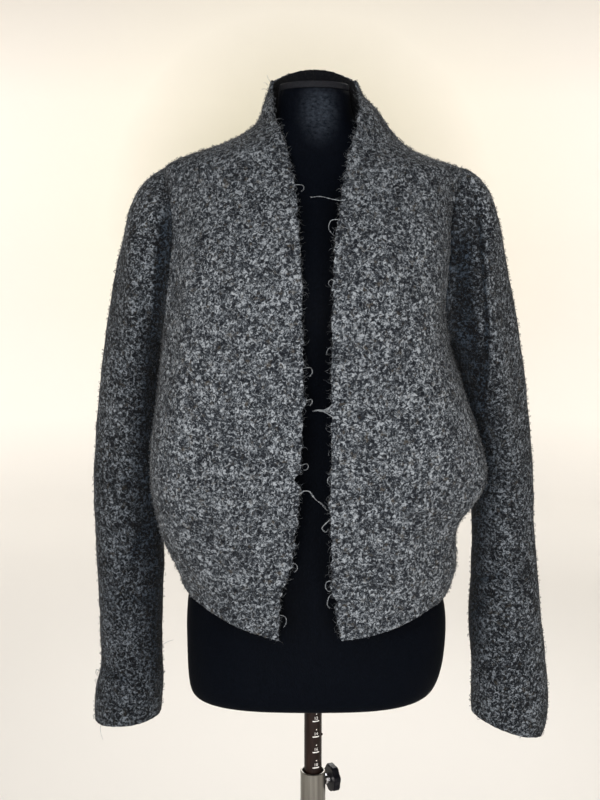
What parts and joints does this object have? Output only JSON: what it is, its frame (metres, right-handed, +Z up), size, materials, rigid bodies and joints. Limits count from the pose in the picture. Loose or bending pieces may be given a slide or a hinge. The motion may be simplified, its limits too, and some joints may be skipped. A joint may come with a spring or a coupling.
{
  "type": "wool jacket on a dress form",
  "caption": "Open-front cropped wool boucle jacket with a standing collar and frayed front edges, on a limbless dress form and a height-adjustable pole stand.",
  "frame": {"origin": "middle of the underside of the stand's base, on the floor and on the pole's axis", "axes": "+Z up along the pole, -Y towards the front of the jacket, +X to the viewer's right as the jacket is faced"},
  "size_m": [0.568, 0.34, 1.446],
  "materials": {
    "wool_boucle": "looped boucle wool",
    "wool_boucle_sleeve": "looped boucle wool",
    "wool_yarn": "loose wool yarn",
    "black_jersey": "knitted jersey",
    "neck_board": "matt",
    "brown_pole": "satin",
    "satin_steel": "satin",
    "base_paint": "satin",
    "bright_steel": "bright",
    "black_plastic": "satin"
  },
  "bodies": {
    "stand": {"stand_base": "base_paint", "stand_tube": "satin_steel", "clamp_nut": "bright_steel"},
    "mast": {"pole": "brown_pole"},
    "form": {"dress_form": "black_jersey", "neck_cap": "neck_board", "jacket_front_left": "wool_boucle", "jacket_front_right": "wool_boucle", "jacket_back": "wool_boucle", "sleeve_left": "wool_boucle_sleeve", "sleeve_right": "wool_boucle_sleeve", "front_fringe_left": "wool_yarn", "front_fringe_right": "wool_yarn"},
    "knob": {"clamp_knob": "black_plastic", "clamp_screw": "bright_steel"}
  },
  "joints": [
    {"name": "height_slide", "type": "slide", "parent": "stand", "child": "mast", "axis": [0, 0, 1], "range_m": [-0.1, 0.25]},
    {"name": "form_swivel", "type": "hinge", "parent": "mast", "child": "form", "pos_m": [0, 0, 0.7], "axis": [0, 0, 1], "continuous": true},
    {"name": "knob_turn", "type": "hinge", "parent": "stand", "child": "knob", "pos_m": [0, 0, 0.5725], "axis": [0.9135, 0.4067, 0], "continuous": true}
  ]
}
